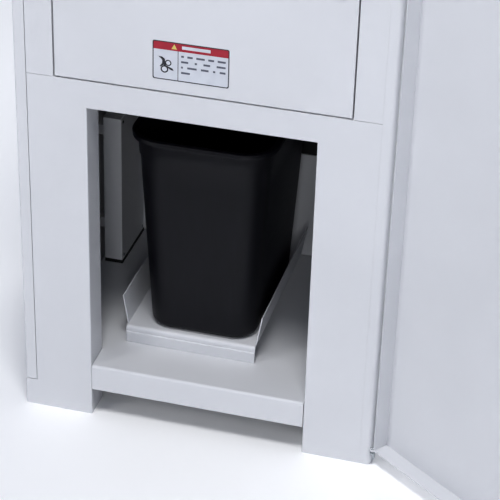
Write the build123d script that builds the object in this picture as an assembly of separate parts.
from build123d import *
from math import acos, cos, pi, radians, sin, tan
import os

# A floor-standing waste compactor: a sheet-steel cabinet with a bin bay at the bottom, a twin-shaft
# crusher above it, and a full-height front door that stands open. All lengths are millimetres.
# While it is drawn, X is to the right with 0 at the cabinet's middle, Y goes into the machine with 0 at
# its front face, and Z is up from the floor. The last step moves Y = 0 to the rear base rail.

# ---- cabinet ---------------------------------------------------------------------------------------
WIDTH, DEPTH, HEIGHT = 620.0, 600.0, 1250.0
HALF = WIDTH / 2
SHEET = 2.0  # panels
PLATE = 3.0  # folded frames
STRIP = 20.5  # corner strip at each side of the front
OPENING_HALF = 189.0  # bin opening
SHELF_LOW, SHELF_TOP = 53.0, 102.0
OPENING_TOP = 597.0
SEAM = 645.0  # top of the lower frame
LEG_DEPTH = 56.0
FRAME_HALF = HALF - STRIP
BASE_TOP = 50.0
RAIL = 40.0  # width of a base rail
PANEL_TOP = HEIGHT - SHEET
BAY_BACK = 470.0
BAY_BACK_TOP = 319.0
LINER_HALF = 286.0
SCREEN_TOP = 640.0  # the dark sheet above the back plate
INLET_AT = (200.0, 150.0)  # x, z
LOUVRE_ROWS = (720.0, 1020.0)  # lowest slot of each group
LOUVRE_PITCH = 22.0
CONTROL_BOX = (-280.0, -246.0, 339.0, 469.0, 107.0, 404.0)
ORIGIN_Y = DEPTH - RAIL / 2

# ---- service door above the bin bay ----------------------------------------------------------------
GAP = 2.5
DOOR_HALF = 241.6
DOOR_LOW, DOOR_TOP = SEAM + GAP, 900.0
DOOR_DEPTH = 18.0
POST_IN = DOOR_HALF + GAP
POST_DEPTH = 30.0
CROSSBAR = (DOOR_TOP + GAP, 943.0)
TOP_RAIL = 1210.0
HINGE_INSET = 5.0
PIN_R = 2.5
RUNNING = 0.05
LABEL = (-79.0, 45.0, 668.0, 734.0)
LOCK_AT = (215.0, 855.0)

# ---- outer door, a pan hinged at the right ---------------------------------------------------------
PAN_DEPTH = 30.0
PAN_FRONT = -(PAN_DEPTH + 1.0)
PAN_SHEET = 1.5
PAN_LOW, PAN_TOP = 31.0, 1240.0
PIVOT = (HALF + 1.5, -0.5)
PIVOT_R = 2.2
EAR_R = 4.2
OPEN_ANGLE = 143.3  # from closed to the angle at which it stands
PORT_HALF, PORT_LOW, PORT_TOP = 62.0, 985.0, 1120.0
FLAP_HALF = 68.0
FLAP_PIVOT = (-14.0, 1131.0)  # y, z
BUTTON_X = 170.0
BUTTONS = {"start_button": 1108.0, "stop_button": 1066.0, "emergency_stop": 1014.0}

# ---- bin and its guide tray ------------------------------------------------------------------------
BIN_X, BIN_Y = -26.0, 250.0
TRAY_LEFT, TRAY_RIGHT = -156.0, 78.0
TRAY_FRONT, TRAY_BACK = 92.0, 430.0
TRAY_TOP = 134.0
TRAY_SHEET = 2.0
FLANGE_HEIGHT, FLANGE_LEAN = 55.0, 9.5
BIN_TOP = 515.0
BIN_WALL = 2.5
BIN_BASE = (190.0, 306.0)
BIN_CORNER = 40.0
BIN_MOUTH = (232.0, 336.0)
RIM_OUT, RIM_BAND = 11.0, 9.0

# ---- crusher ---------------------------------------------------------------------------------------
CUTTER_Y, CUTTER_Z = 262.0, 757.0
SHAFT_R = 20.0
CHAMBER = (-140.0, 74.0, 150.0, 374.0)
CHAMBER_TOP = 860.0
MODULE, TEETH = 4.0, 24
SHAFT_GAP = MODULE * TEETH
DISC_R, ROOT_R, SPACER_R = 61.0, 50.0, 33.0
CELL, CELLS = 13.0, 16
DISC = 12.2
HOOKS = 6
END_PLATE = 12.0
BEARING_R = 36.0
SHAFT_Y = {"front": CUTTER_Y - SHAFT_GAP / 2, "rear": CUTTER_Y + SHAFT_GAP / 2}
HOPPER = (-133.0, 73.0)
MOUTH = (975.0, 1140.0)

PARTS = {}


def block(x0, x1, y0, y1, z0, z1):
    """A box between two corners."""
    return Pos((x0 + x1) / 2, (y0 + y1) / 2, (z0 + z1) / 2) * Box(x1 - x0, y1 - y0, z1 - z0)


def rod(axis, x, y, z, radius, length):
    """A cylinder along an axis, from a start point."""
    turn = {"x": Rot(0, 90, 0), "y": Rot(-90, 0, 0), "z": Rot(0, 0, 0)}[axis]
    start = Align.CENTER, Align.CENTER, Align.MIN
    return Pos(x, y, z) * turn * Cylinder(radius, length, align=start)


def side_profile(x0, x1, points):
    """A closed outline in the Y-Z plane, pushed out from x0 to x1."""
    face = Plane.YZ.offset(x0) * make_face(Polyline(*points, close=True))
    return extrude(face, x1 - x0)


def rounded_slab(x0, x1, z0, z1, y0, y1, radius):
    """An upright slab with rounded corners, y0 to y1 thick."""
    face = Plane.XZ * Pos((x0 + x1) / 2, (z0 + z1) / 2) * RectangleRounded(x1 - x0, z1 - z0, radius)
    return Pos(0, y1, 0) * extrude(face, y1 - y0)


def vertical_edges(solid, x, y):
    """The upright edges of a solid at one corner."""
    return [
        e
        for e in solid.edges().filter_by(Axis.Z)
        if abs(e.center().X - x) < 0.01 and abs(e.center().Y - y) < 0.01
    ]


def add(name, *solids, turn=None):
    """Keep a node: one solid, or a group of separate ones."""
    PARTS[name] = [turn * s for s in solids] if turn else list(solids)


# ---- lower frame and base --------------------------------------------------------------------------
def front_frame():
    legs = block(-FRAME_HALF, FRAME_HALF, 0, LEG_DEPTH, 0, SEAM)
    foot = block(-HALF, -OPENING_HALF, 0, LEG_DEPTH, 0, SHELF_LOW - 1)
    hole = block(-OPENING_HALF, OPENING_HALF, -1, LEG_DEPTH + 1, -1, OPENING_TOP)
    frame = legs + foot - hole
    inner = FRAME_HALF - PLATE
    back = LEG_DEPTH + 1
    for side in (-1, 1):
        low, high = sorted((side * (OPENING_HALF + PLATE), side * inner))
        frame -= block(low, high, PLATE, back, PLATE, SEAM - PLATE)
    frame -= block(-inner, inner, PLATE, back, OPENING_TOP + PLATE, SEAM - PLATE)
    hinge = rod("z", -DOOR_HALF + HINGE_INSET, HINGE_INSET, SEAM - 5, PIN_R + RUNNING, 10)
    frame -= hinge
    bends = [e for e in face_edges(frame, 0) if in_opening(e.center())]
    return fillet(bends, 2)


def face_edges(solid, y):
    """The edges of a solid that lie in one upright plane."""
    return [
        e
        for e in solid.edges()
        if abs(e.bounding_box().min.Y - y) < 0.01 and abs(e.bounding_box().max.Y - y) < 0.01
    ]


def in_opening(point):
    """Whether a point is on the edge of the bin opening."""
    side = abs(abs(point.X) - OPENING_HALF) < 0.01 and point.Z > SHELF_LOW
    top = abs(point.Z - OPENING_TOP) < 0.01
    return side or top


def base_frame():
    front = LEG_DEPTH + 0.5
    frame = block(-HALF, HALF, front, DEPTH, 0, BASE_TOP)
    frame -= block(-HALF + RAIL, HALF - RAIL, front - 1, DEPTH - RAIL, -1, BASE_TOP + 1)
    for side in (-1, 1):
        low, high = sorted((side * (HALF - RAIL - 1), side * (HALF - PLATE)))
        frame -= block(low, high, front - 1, DEPTH - PLATE, PLATE, BASE_TOP - PLATE)
    inner = HALF - RAIL
    frame -= block(-inner, inner, DEPTH - RAIL - 1, DEPTH - PLATE, PLATE, BASE_TOP - PLATE)
    return frame


def right_corner_post():
    deep = 22.0
    post = block(FRAME_HALF, HALF, 0, deep, 0, PANEL_TOP)
    post = fillet(vertical_edges(post, HALF, 0), 9)
    hollow = block(FRAME_HALF + SHEET, HALF - SHEET, SHEET, deep + 1, -1, PANEL_TOP + 1)
    return post - fillet(vertical_edges(hollow, HALF - SHEET, SHEET), 7)


def left_side_panel():
    low = SHELF_LOW
    inner = -FRAME_HALF - 1
    outer = block(-HALF, inner, 0, DEPTH - SHEET, low, PANEL_TOP)
    outer = fillet(vertical_edges(outer, -HALF, 0), 3)
    hollow = block(-HALF + SHEET, inner - SHEET, SHEET, DEPTH, low - 1, PANEL_TOP + 1)
    lip = block(inner - SHEET - 1, inner + 1, 14, DEPTH, low - 1, PANEL_TOP + 1)
    return outer - hollow - lip


def side_and_top():
    add("left_side_panel", left_side_panel())
    right = block(HALF - SHEET, HALF, 22.5, DEPTH - SHEET, SHELF_LOW, PANEL_TOP)
    add("right_side_panel", right)
    top = block(-HALF, HALF, 0, DEPTH, PANEL_TOP, HEIGHT)
    corners = [(sx * HALF, y) for sx in (-1, 1) for y in (0, DEPTH)]
    top = fillet([e for x, y in corners for e in vertical_edges(top, x, y)], 5)
    add("top_panel", top)


def rear_posts():
    posts = []
    for side in (-1, 1):
        x0, x1 = sorted((side * (HALF - SHEET), side * (HALF - SHEET - RAIL)))
        angle = block(x0, x1, DEPTH - SHEET - RAIL, DEPTH - SHEET, BASE_TOP, PANEL_TOP)
        x0, x1 = sorted((side * (HALF - SHEET - PLATE), side * (HALF - RAIL - 10)))
        back = DEPTH - SHEET - PLATE
        posts.append(angle - block(x0, x1, DEPTH - RAIL - 10, back, 0, HEIGHT))
    add("rear_posts", *posts)


def back_panel():
    panel = block(-HALF, HALF, DEPTH - SHEET, DEPTH, BASE_TOP, PANEL_TOP)
    for low in LOUVRE_ROWS:
        for row in range(7):
            for side in (-1, 1):
                x, z = side * 95.0, low + row * LOUVRE_PITCH
                panel -= block(x - 70, x + 70, DEPTH - 5, DEPTH + 1, z, z + 7)
    x, z = INLET_AT
    panel -= block(x - 24, x + 24, DEPTH - 5, DEPTH + 1, z - 32, z + 32)
    add("back_panel", panel)


# ---- bin bay ---------------------------------------------------------------------------------------
def bay_shelf():
    thick, bend = 2.5, 5.0
    front = block(-OPENING_HALF + 0.6, OPENING_HALF - 1.0, 0, LEG_DEPTH + 2, SHELF_LOW, SHELF_TOP)
    edges = [
        e
        for e in front.edges().filter_by(Axis.X)
        if abs(e.center().Y) < 0.01 and abs(e.center().Z - SHELF_TOP) < 0.01
    ]
    front = fillet(edges, bend)
    cut = block(-HALF, HALF, thick, LEG_DEPTH + 3, SHELF_LOW - 1, SHELF_TOP - thick)
    edges = [
        e
        for e in cut.edges().filter_by(Axis.X)
        if abs(e.center().Y - thick) < 0.01 and abs(e.center().Z - SHELF_TOP + thick) < 0.01
    ]
    front -= fillet(edges, bend - thick)
    deck = block(-LINER_HALF, LINER_HALF, LEG_DEPTH + 1, BAY_BACK + 30, SHELF_TOP - thick, SHELF_TOP)
    shelf = front + deck
    for side in (-1, 1):
        x0, x1 = sorted((side * LINER_HALF, side * (LINER_HALF - thick)))
        shelf += block(x0, x1, LEG_DEPTH + 1, BAY_BACK + 30, BASE_TOP, SHELF_TOP)
    add("bay_shelf", shelf)
    back = BAY_BACK, BAY_BACK + SHEET
    add("bay_back_panel", block(-LINER_HALF, LINER_HALF, *back, SHELF_TOP + 2, BAY_BACK_TOP))
    add("bay_rear_screen", block(-LINER_HALF, LINER_HALF, *back, BAY_BACK_TOP + 1.5, SCREEN_TOP))


def guide_tray():
    bend = 6.0
    left, right = TRAY_LEFT, TRAY_RIGHT
    plate = block(left, right, TRAY_FRONT, TRAY_BACK, SHELF_TOP, TRAY_TOP)
    edge = [
        e
        for e in plate.edges().filter_by(Axis.X)
        if abs(e.center().Y - TRAY_FRONT) < 0.01 and abs(e.center().Z - TRAY_TOP) < 0.01
    ]
    plate = fillet(edge, bend)
    under = block(left - 1, right + 1, TRAY_FRONT + TRAY_SHEET, TRAY_BACK + 1, 0, TRAY_TOP - TRAY_SHEET)
    edge = [
        e
        for e in under.edges().filter_by(Axis.X)
        if abs(e.center().Y - TRAY_FRONT - TRAY_SHEET) < 0.01 and e.center().Z > TRAY_TOP - 5
    ]
    plate -= fillet(edge, bend - TRAY_SHEET)
    start = TRAY_FRONT + bend + 4
    for x, side in ((left, -1), (right, 1)):
        low, top = TRAY_TOP - TRAY_SHEET, TRAY_TOP + FLANGE_HEIGHT
        outline = [
            (x - side * TRAY_SHEET, low),
            (x, low),
            (x + side * FLANGE_LEAN, top),
            (x + side * (FLANGE_LEAN - TRAY_SHEET), top),
        ]
        face = Plane.XZ * make_face(Polyline(*outline, close=True))
        plate += Pos(0, TRAY_BACK, 0) * extrude(face, TRAY_BACK - start)
    add("guide_tray", plate)
    supports = []
    for x in (left + 30, right - 50):
        supports.append(block(x, x + 20, TRAY_FRONT + 20, TRAY_BACK - 10, SHELF_TOP, TRAY_TOP - TRAY_SHEET))
    add("tray_supports", *supports)


def bin_section(width, depth, z, inset=0.0):
    corner = BIN_CORNER + (z - TRAY_TOP) * 0.02
    size = width - 2 * inset, depth - 2 * inset
    return Pos(BIN_X, BIN_Y, z) * RectangleRounded(*size, corner - inset)


def waste_bin():
    width, depth = BIN_MOUTH
    reach = 2 * RIM_OUT
    outer = loft([bin_section(*BIN_BASE, TRAY_TOP), bin_section(*BIN_MOUTH, BIN_TOP)])
    outer = fillet(outer.faces().sort_by(Axis.Z)[0].edges(), 12)
    rim = extrude(bin_section(width + reach, depth + reach, BIN_TOP - RIM_BAND), RIM_BAND)
    rim = fillet(rim.faces().sort_by(Axis.Z)[-1].edges(), 4)
    gutter = bin_section(width + reach, depth + reach, BIN_TOP - RIM_BAND - 1, BIN_WALL)
    rim -= extrude(gutter, RIM_BAND + 1 - BIN_WALL)
    hollow = loft(
        [
            bin_section(*BIN_BASE, TRAY_TOP + BIN_WALL, BIN_WALL),
            bin_section(*BIN_MOUTH, BIN_TOP + 1, BIN_WALL),
        ]
    )
    hollow = fillet(hollow.faces().sort_by(Axis.Z)[0].edges(), 10)
    add("waste_bin", outer + rim - hollow)


def control_box():
    x0, x1, y0, y1, z0, z1 = CONTROL_BOX
    wall = 1.5
    shell = block(x0, x1 - wall, y0, y1, z0, z1)
    shell -= block(x0 + wall, x1, y0 + wall, y1 - wall, z0 + wall, z1 - wall)
    for z in (z0 + 40, z1 - 60):
        shell += block(-HALF + SHEET, x0, y0 + 45, y0 + 75, z, z + 20)
    add("control_box", shell)
    add("control_box_cover", block(x1 - wall, x1, y0, y1, z0, z1))
    relay = block(x0 + wall, x1 - 8, y0 + 30, y0 + 75, z0 + 160, z0 + 235)
    for z in (z0 + 168, z0 + 219):
        relay -= block(x1 - 14, x1 - 7, y0 + 34, y0 + 71, z, z + 8)
    add("motor_contactor", relay)


# ---- upper frame, hopper and deck ------------------------------------------------------------------
def upper_frame():
    low = SEAM + 0.6
    frame = block(-FRAME_HALF, FRAME_HALF, 0, POST_DEPTH, low, PANEL_TOP)
    frame -= block(-POST_IN, POST_IN, -1, POST_DEPTH + 1, low - 1, CROSSBAR[0])
    frame -= block(-POST_IN, POST_IN, -1, POST_DEPTH + 1, CROSSBAR[1], TOP_RAIL)
    back = POST_DEPTH + 1
    for side in (-1, 1):
        x0, x1 = sorted((side * (POST_IN + PLATE), side * (FRAME_HALF - PLATE)))
        frame -= block(x0, x1, PLATE, back, low + PLATE, PANEL_TOP - PLATE)
    frame -= block(-POST_IN, POST_IN, PLATE, back, CROSSBAR[0] + PLATE, CROSSBAR[1] - PLATE)
    frame -= block(-POST_IN, POST_IN, PLATE, back, TOP_RAIL + PLATE, PANEL_TOP - PLATE)
    hinge = rod("z", -DOOR_HALF + HINGE_INSET, HINGE_INSET, DOOR_TOP, PIN_R + RUNNING, 10)
    add("upper_front_frame", frame - hinge)

    x0, x1 = HOPPER
    fascia = block(-POST_IN + 1, POST_IN - 1, 0, SHEET, CROSSBAR[1] + 1, TOP_RAIL - 1)
    add("hopper_fascia", fascia - block(x0, x1, -1, SHEET + 1, *MOUTH))


def feed_hopper():
    x0, x1 = HOPPER
    front, back, low = CHAMBER[2] + 35, CHAMBER[3] - 29, CHAMBER_TOP + 2
    floor, top = MOUTH
    inner = [(1, floor), (SHEET, floor), (front, low), (front, 0), (back, 0), (back, top), (1, top)]
    outer = [
        (SHEET + 0.2, floor - 3),
        (front - SHEET, low - 1.5),
        (front - SHEET, low - 2),
        (back + SHEET, low - 2),
        (back + SHEET, top + SHEET),
        (SHEET + 0.2, top + SHEET),
    ]
    hopper = side_profile(x0 - SHEET, x1 + SHEET, outer) - side_profile(x0, x1, inner)
    add("feed_hopper", hopper)


def deck_and_chute():
    x0, x1, y0, y1 = CHAMBER
    deck = block(-LINER_HALF, LINER_HALF, LEG_DEPTH + 1, DEPTH - RAIL - 5, 641, SEAM)
    add("mechanism_deck", deck - block(x0 + 7, x1 - 1, y0 + 5, y1 - 5, 600, 700))
    wall = 1.5
    low, high = 541.0, 641.0
    chute = block(x0 + 7, x1 - 1, y0 + 5, y1 - 5, low, high)
    chute += block(x0, x1 + 6, y0 - 4, y1 + 4, high - wall, high)
    throat = block(x0 + 7 + wall, x1 - 1 - wall, y0 + 5 + wall, y1 - 5 - wall, low - 1, high + 1)
    add("discharge_chute", chute - throat)


# ---- crusher ---------------------------------------------------------------------------------------
def gear_outline():
    """One spur gear's outline: involute flanks, thinned for backlash."""
    pressure, backlash = radians(20), 0.25
    pitch_r = MODULE * TEETH / 2
    base_r, tip_r, root_r = pitch_r * cos(pressure), pitch_r + 0.92 * MODULE, pitch_r - 1.25 * MODULE

    def flank(radius):
        turn = acos(min(1, base_r / radius))
        return tan(turn) - turn

    half = pi / (2 * TEETH) - backlash / (2 * pitch_r) + flank(pitch_r)
    radii = [base_r + (tip_r - base_r) * k / 5 for k in range(6)]
    side = [(root_r, half)] + [(r, half - flank(r)) for r in radii]
    points = []
    for tooth in range(TEETH):
        middle = 2 * pi * tooth / TEETH
        rise = [(r, middle - a) for r, a in side]
        fall = [(r, middle + a) for r, a in reversed(side)]
        points += [(r * cos(a), r * sin(a)) for r, a in rise + fall]
    return make_face(Polyline(*points, close=True))


def disc_outline(turn):
    """A cutter disc: hooks that rise straight and fall back along a spiral."""
    points = []
    for hook in range(HOOKS):
        start = turn + 2 * pi * hook / HOOKS
        points.append((ROOT_R, start))
        for step in range(4):
            angle = 2 * pi / HOOKS * (0.06 + 0.3 * step)
            points.append((DISC_R - (DISC_R - ROOT_R) * (step / 3.3) ** 1.4, start + angle))
    return make_face(Polyline(*[(r * cos(a), r * sin(a)) for r, a in points], close=True))


def on_shaft(face, x, y, thick):
    """Push a flat outline out along X, centred on a cutter shaft."""
    return extrude(Plane.YZ.offset(x) * Pos(y, CUTTER_Z) * face, thick)


def cutter_shafts():
    left = CHAMBER[0]
    gear_x, gear_w = left - END_PLATE - 33, 24.0
    for name, y in SHAFT_Y.items():
        odd = name == "rear"
        ends = left - 50, 190.0 if name == "front" else CHAMBER[1] + END_PLATE + 2
        add(f"{name}_cutter_shaft", rod("x", ends[0], y, CUTTER_Z, SHAFT_R, ends[1] - ends[0]))
        bore = rod("x", left - 60, y, CUTTER_Z, SHAFT_R, 400)
        discs, spacers = [], []
        first = left + 3
        edges = [left + 1]
        for cell in range(CELLS):
            if (cell % 2 == 1) == odd:
                x = first + cell * CELL + (CELL - DISC) / 2
                angle = (-1 if odd else 1) * (2 * pi / HOOKS) * cell / CELLS
                outline = disc_outline(angle)
                disc = on_shaft(outline, x, y, DISC)
                if odd:
                    disc = Pos(0, y, 0) * (mirror(Pos(0, -y, 0) * disc, Plane.XZ))
                discs.append(disc - bore)
                edges += [x, x + DISC]
        edges.append(CHAMBER[1] - 1)
        for x0, x1 in zip(edges[::2], edges[1::2]):
            if x1 - x0 > 1.5:
                spacers.append(rod("x", x0, y, CUTTER_Z, SPACER_R, x1 - x0) - bore)
        add(f"{name}_cutter_discs", *discs)
        add(f"{name}_spacers", *spacers)
        outline = gear_outline()
        if odd:
            outline = Rot(0, 0, 180 + 180 / TEETH) * outline
        add(f"{name}_timing_gear", on_shaft(outline, gear_x, y, gear_w) - bore)


def chamber():
    x0, x1, y0, y1 = CHAMBER
    wall = 8.0
    rings = []
    for name, x in (("left_bearing_plate", x0 - END_PLATE), ("right_bearing_plate", x1)):
        plate = block(x, x + END_PLATE, y0 - wall, y1 + wall, SEAM, CHAMBER_TOP)
        for y in SHAFT_Y.values():
            plate -= rod("x", x - 1, y, CUTTER_Z, BEARING_R, END_PLATE + 2)
            ring = rod("x", x, y, CUTTER_Z, BEARING_R, END_PLATE)
            ring -= rod("x", x - 1, y, CUTTER_Z, SHAFT_R + RUNNING, END_PLATE + 2)
            rings.append(ring)
        add(name, plate)
    add("cutter_bearings", *rings)
    for name, y, way in (("front_comb", y0, 1), ("rear_comb", y1, -1)):
        shaft_y = SHAFT_Y[name.split("_")[0]]
        low, high = sorted((y, y - way * wall))
        comb = block(x0, x1, low, high, SEAM, CHAMBER_TOP)
        tip = shaft_y - way * (SPACER_R + 1.6)
        for cell in range(CELLS):
            if (cell % 2 == 1) == (way == 1):
                x = x0 + 3 + cell * CELL + CELL / 2
                low, high = sorted((y - way, tip))
                comb += block(x - 5.5, x + 5.5, low, high, CUTTER_Z - 17, CUTTER_Z + 17)
        add(name, comb)


def drive():
    y = SHAFT_Y["front"]
    x0, x1 = CHAMBER[1] + END_PLATE + 7, 200.0
    box = block(x0, x1, y - 62, y + 66, CUTTER_Z - 66, CUTTER_Z + 66)
    box = fillet(box.edges().filter_by(Axis.X), 14)
    box -= rod("x", x0 - 1, y, CUTTER_Z, SHAFT_R + RUNNING, 200)
    foot = block(x0 + 4, x1 - 4, y - 50, y + 54, SEAM, CUTTER_Z - 60)
    add("gear_reducer", box + foot)
    x, start = (x0 + x1) / 2, y + 66
    motor = rod("y", x, start, CUTTER_Z, 57, 10) + rod("y", x, start + 10, CUTTER_Z, 50, 150)
    motor += block(x - 30, x + 30, start + 50, start + 120, CUTTER_Z + 40, CUTTER_Z + 78)
    add("drive_motor", motor)
    cover = rod("y", x, start + 160, CUTTER_Z, 54, 42)
    cover -= rod("y", x, start + 159, CUTTER_Z, 52, 41)
    for ring in range(12):
        angle = 30 * ring
        slot = block(x + 16, x + 44, start + 190, start + 210, CUTTER_Z - 3, CUTTER_Z + 3)
        cover -= Pos(x, 0, CUTTER_Z) * Rot(0, angle, 0) * Pos(-x, 0, -CUTTER_Z) * slot
    add("motor_fan_cover", cover)


# ---- service door ----------------------------------------------------------------------------------
def outer_loop(solid, y):
    """The four outermost edges of a pan's face."""
    limit = solid.bounding_box()
    return [
        e
        for e in face_edges(solid, y)
        if abs(e.center().X - limit.min.X) < 0.01
        or abs(e.center().X - limit.max.X) < 0.01
        or abs(e.center().Z - limit.min.Z) < 0.01
        or abs(e.center().Z - limit.max.Z) < 0.01
    ]


def service_door():
    thick = PAN_SHEET
    door = block(-DOOR_HALF, DOOR_HALF, 0, DOOR_DEPTH, DOOR_LOW, DOOR_TOP)
    inner = DOOR_HALF - thick
    door -= block(-inner, inner, thick, DOOR_DEPTH + 1, DOOR_LOW + thick, DOOR_TOP - thick)
    hinge_x = -DOOR_HALF + HINGE_INSET
    door -= rod("z", hinge_x, HINGE_INSET, DOOR_LOW - 1, PIN_R, DOOR_TOP - DOOR_LOW + 2)
    lock_x, lock_z = LOCK_AT
    door -= rod("y", lock_x, -1, lock_z, 9, 5)
    add("service_door", fillet(outer_loop(door, 0), 1))
    low = rod("z", hinge_x, HINGE_INSET, SEAM - 2.5, PIN_R, 14)
    high = rod("z", hinge_x, HINGE_INSET, DOOR_TOP - 10, PIN_R, 15)
    add("service_door_pins", low, high)
    x0, x1, z0, z1 = LABEL
    add("warning_label", block(x0, x1, -0.3, 0, z0, z1))
    barrel = rod("y", lock_x, 0, lock_z, 9, 31) + rod("y", lock_x, -2, lock_z, 12, 2)
    add("lock_barrel", barrel - rod("y", lock_x, -3, lock_z, 6 + RUNNING, 40))
    plug = rod("y", lock_x, -1.5, lock_z, 6, 33)
    plug -= block(lock_x - 1, lock_x + 1, -3, 1.5, lock_z - 4, lock_z + 4)
    plug += block(lock_x - 6, lock_x + 6, 31.5, 35, lock_z - 40, lock_z + 7)
    add("lock_cam", plug)


# ---- outer door: drawn closed, then turned about its pivots ----------------------------------------
OPEN = Pos(*PIVOT, 0) * Rot(0, 0, OPEN_ANGLE) * Pos(-PIVOT[0], -PIVOT[1], 0)


def outer_door():
    inner = PAN_FRONT + PAN_SHEET
    door = block(-HALF, HALF, PAN_FRONT, -1, PAN_LOW, PAN_TOP)
    corners = vertical_edges(door, -HALF, PAN_FRONT) + vertical_edges(door, HALF, PAN_FRONT)
    door = fillet(corners, 2.5)
    edge = HALF - PAN_SHEET
    door -= block(-edge, edge, inner, 1, PAN_LOW + PAN_SHEET, PAN_TOP - PAN_SHEET)
    port = rounded_slab(-PORT_HALF, PORT_HALF, PORT_LOW, PORT_TOP, PAN_FRONT - 5, inner + 5, 12)
    door -= port
    x, y = PIVOT
    for low in (PAN_LOW, PAN_TOP - PLATE):
        ear = block(HALF - 12, x, y - EAR_R, -1, low, low + PLATE)
        ear += rod("z", x, y, low, EAR_R, PLATE)
        door += ear
        door -= rod("z", x, y, low - 2, PIVOT_R + RUNNING, PLATE + 4)
    for height in BUTTONS.values():
        door -= rod("y", BUTTON_X, PAN_FRONT - 9, height, 11.5, 12)
    add("outer_door", door, turn=OPEN)

    face = PAN_FRONT - 4, PAN_FRONT
    low, top = PORT_LOW - 16, PORT_TOP + 16
    bezel = rounded_slab(-PORT_HALF - 16, PORT_HALF + 16, low, top, *face, 20)
    add("port_frame", bezel - port, turn=OPEN)

    handle = rod("z", -285, PAN_FRONT - 32, 540, 7, 200)
    for z in (560.0, 720.0):
        handle += rod("y", -285, PAN_FRONT - 32, z, 6, 32)
    add("door_handle", handle, turn=OPEN)

    plate = rounded_slab(BUTTON_X - 45, BUTTON_X + 45, low, top, *face, 8)
    blocks = []
    for name, height in BUTTONS.items():
        plate -= rod("y", BUTTON_X, PAN_FRONT - 9, height, 11.5, 12)
        mushroom = name == "emergency_stop"
        proud = 14 if mushroom else 9
        stem = rod("y", BUTTON_X, PAN_FRONT - proud, height, 11, 7 + proud)
        if mushroom:
            stem += fillet(rod("y", BUTTON_X, PAN_FRONT - 26, height, 19, 13).edges(), 3)
        add(name, stem, turn=OPEN)
        seat = block(BUTTON_X - 15, BUTTON_X + 15, inner, inner + 17, height - 15, height + 15)
        blocks.append(seat - rod("y", BUTTON_X, PAN_FRONT, height, 11.5, 13.5))
    add("control_plate", plate, turn=OPEN)
    add("contact_blocks", *blocks, turn=OPEN)

    y, z = FLAP_PIVOT
    brackets = []
    for side in (-1, 1):
        x0, x1 = sorted((side * (FLAP_HALF + 1), side * (FLAP_HALF + 4)))
        bracket = block(x0, x1, inner, y + 5, z - 8, z + 8)
        brackets.append(bracket - rod("x", x0 - 1, y, z, PIN_R + RUNNING, 6))
    add("flap_brackets", *brackets, turn=OPEN)
    flap = block(-FLAP_HALF, FLAP_HALF, inner + 0.5, inner + 2.5, PORT_LOW - 6, z)
    flap += rod("x", -FLAP_HALF, y, z, 4.5, 2 * FLAP_HALF)
    flap += rod("x", -FLAP_HALF - 4.5, y, z, PIN_R, 2 * FLAP_HALF + 9)
    flap += block(-FLAP_HALF, FLAP_HALF, inner + 1, y, z - 2, z + 1)
    add("feed_flap", flap, turn=OPEN)
    add("interlock_magnet", block(-278, -258, inner, inner + 6, 1060, 1100), turn=OPEN)


def pivots():
    """Two brackets on the right side; each holds a pin on which an ear of the pan turns."""
    x, y = PIVOT
    thick = 3.0
    low, high = PAN_LOW - 6, PAN_TOP + 3
    tab = block(HALF, HALF + PLATE, 10, 21, 5, low + thick)
    arm = block(HALF, x + EAR_R, y, 21, low, low + thick) + rod("z", x, y, low, EAR_R, thick)
    add("lower_pivot_bracket", tab + arm + rod("z", x, y, low, PIVOT_R, 10))
    tab = block(HALF, HALF + PLATE, 10, 21, high, HEIGHT - SHEET)
    arm = block(HALF, x + EAR_R, y, 21, high, high + thick) + rod("z", x, y, high, EAR_R, thick)
    add("upper_pivot_bracket", tab + arm + rod("z", x, y, high - 7, PIVOT_R, 10))


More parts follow.
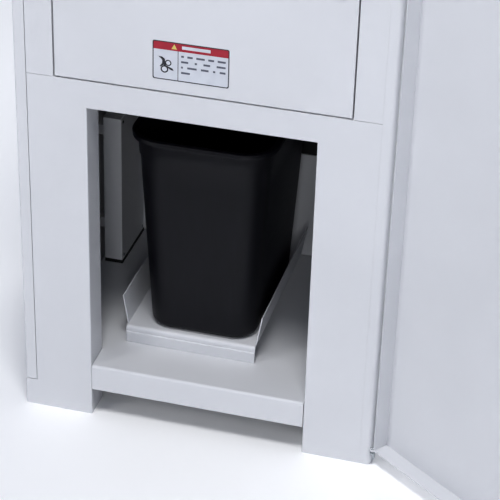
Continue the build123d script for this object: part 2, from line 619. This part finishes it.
# ---- rear inlet, interlock and screws --------------------------------------------------------------
def inlet():
    x, z = INLET_AT
    module = block(x - 24, x + 24, DEPTH - 30, DEPTH + 3, z - 32, z + 32)
    module += block(x - 30, x + 30, DEPTH, DEPTH + 3, z - 38, z + 38)
    module -= block(x - 14, x + 14, DEPTH - 22, DEPTH + 4, z - 26, z - 4)
    for pin in (-7.0, 0.0, 7.0):
        low = z - 17 if pin else z - 13
        module += block(x + pin - 1, x + pin + 1, DEPTH - 23, DEPTH - 6, low - 1, low + 3)
    module -= block(x - 14, x + 14, DEPTH - 16, DEPTH + 4, z + 4, z + 26)
    for side in (-1, 1):
        module -= rod("x", x - 17, DEPTH - 5, z + 15, 2 + RUNNING, 34)
    add("power_inlet", module)
    cap = side_profile(x - 13, x + 13, [(-6, -9), (4, -9.5), (7.5, -8), (3, 0), (4, 9), (-6, 9)])
    cap += rod("x", x - 16, 0, 0, 2, 32)
    add("power_rocker", Pos(0, DEPTH - 5, z + 15) * cap)
    add("interlock_switch", block(-278, -258, -13, 0, 1055, 1105))


def screws():
    heads = []
    for x in (-POST_IN + 12, POST_IN - 12):
        for z in (CROSSBAR[1] + 12, TOP_RAIL - 12):
            head = rod("y", x, -2, z, 4.5, 2)
            heads.append(fillet(head.edges().sort_by(Axis.Y)[0:1], 0.8))
    _, x1, y0, y1, z0, z1 = CONTROL_BOX
    for y in (y0 + 8, y1 - 8):
        for z in (z0 + 10, z1 - 10):
            heads.append(rod("x", x1, y, z, 3.5, 1.8))
    for x in (-HALF + 15, 0, HALF - 15):
        for z in (BASE_TOP + 40, 660.0, PANEL_TOP - 15):
            heads.append(rod("y", x, DEPTH, z, 4.5, 2))
    add("panel_screws", *heads)


add("front_frame", front_frame())
add("base_frame", base_frame())
add("right_corner_post", right_corner_post())
for make in (side_and_top, rear_posts, back_panel, bay_shelf, guide_tray, waste_bin, control_box,
             upper_frame, feed_hopper, deck_and_chute, cutter_shafts, chamber, drive, service_door,
             outer_door, pivots, inlet, screws):
    make()

os.makedirs("parts", exist_ok=True)
for node, solids in PARTS.items():
    moved = [Pos(0, -ORIGIN_Y, 0) * s for s in solids]
    shape = moved[0] if len(moved) == 1 else Compound(children=moved)
    export_step(shape, f"parts/{node}.step")
